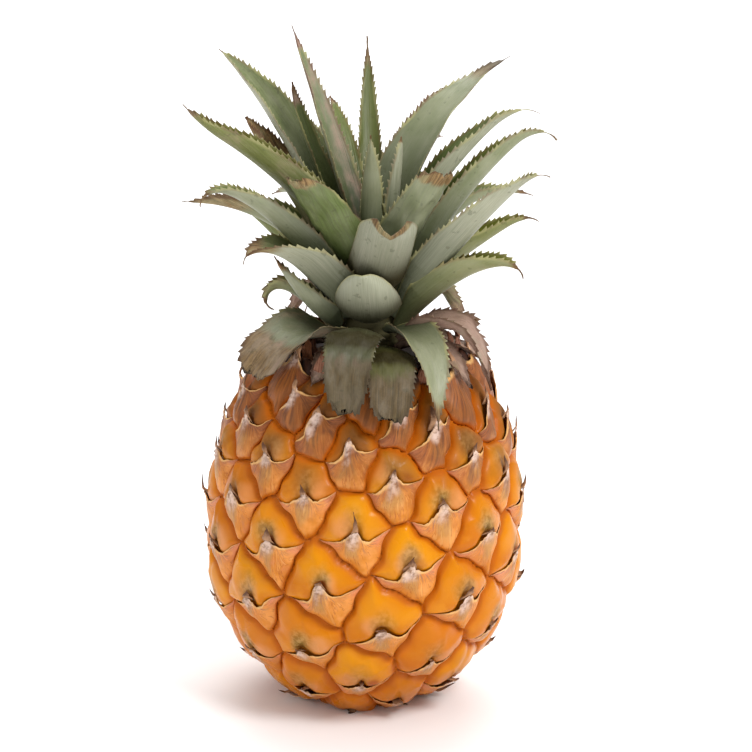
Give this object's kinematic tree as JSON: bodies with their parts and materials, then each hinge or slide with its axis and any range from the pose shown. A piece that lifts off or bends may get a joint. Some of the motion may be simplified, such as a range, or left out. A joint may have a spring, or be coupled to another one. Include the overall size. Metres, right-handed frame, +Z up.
{
  "type": "pineapple",
  "caption": "Whole ripe pineapple standing upright: orange rind of raised diamond eyes with papery bract tips, and a crown of arching grey-green leaves with spiny margins.",
  "frame": {"origin": "middle of the flat underside, where the fruit rests, on the fruit's axis", "axes": "+Z up along the fruit's axis towards the crown, -Y towards the viewer's side, +X to the right"},
  "size_m": [0.1056, 0.1224, 0.1891],
  "materials": {
    "rind": "waxy orange rind, glossy on the domes, papery pink-brown bracts",
    "cut_stem": "dry fibrous cut face",
    "crown_stem": "pale green fleshy stem",
    "leaf_green": "waxy grey-green leaf with pale bloom below",
    "leaf_dry": "withered papery brown leaf"
  },
  "bodies": {
    "root": {"fruit": "rind", "cut_stem": "cut_stem", "crown_stem": "crown_stem", "collar_leaf_5": "leaf_green", "lower_leaf_1": "leaf_green", "lower_leaf_2": "leaf_green", "lower_leaf_3": "leaf_green", "lower_leaf_4": "leaf_green", "lower_leaf_5": "leaf_green", "lower_leaf_6": "leaf_green", "lower_leaf_7": "leaf_green", "lower_leaf_8": "leaf_green", "lower_leaf_9": "leaf_green", "lower_leaf_10": "leaf_green", "lower_leaf_11": "leaf_green", "middle_leaf_1": "leaf_green", "middle_leaf_2": "leaf_green", "middle_leaf_4": "leaf_green", "middle_leaf_5": "leaf_green", "middle_leaf_6": "leaf_green", "middle_leaf_7": "leaf_green", "middle_leaf_8": "leaf_green", "upper_leaf_1": "leaf_green", "upper_leaf_2": "leaf_green", "upper_leaf_3": "leaf_green", "upper_leaf_4": "leaf_green", "upper_leaf_5": "leaf_green", "upper_leaf_6": "leaf_green", "upper_leaf_7": "leaf_green", "heart_leaf_1": "leaf_green", "heart_leaf_2": "leaf_green", "heart_leaf_3": "leaf_green", "heart_leaf_4": "leaf_green", "heart_leaf_5": "leaf_green", "collar_leaf_1": "leaf_dry", "collar_leaf_2": "leaf_dry", "collar_leaf_3": "leaf_dry", "collar_leaf_4": "leaf_dry", "collar_leaf_6": "leaf_dry", "collar_leaf_7": "leaf_dry", "collar_leaf_8": "leaf_dry", "collar_leaf_9": "leaf_dry", "collar_leaf_10": "leaf_dry", "collar_leaf_11": "leaf_dry", "collar_leaf_12": "leaf_dry", "collar_leaf_13": "leaf_dry", "collar_leaf_14": "leaf_dry", "collar_leaf_15": "leaf_dry", "middle_leaf_3": "leaf_dry"}
  },
  "joints": []
}
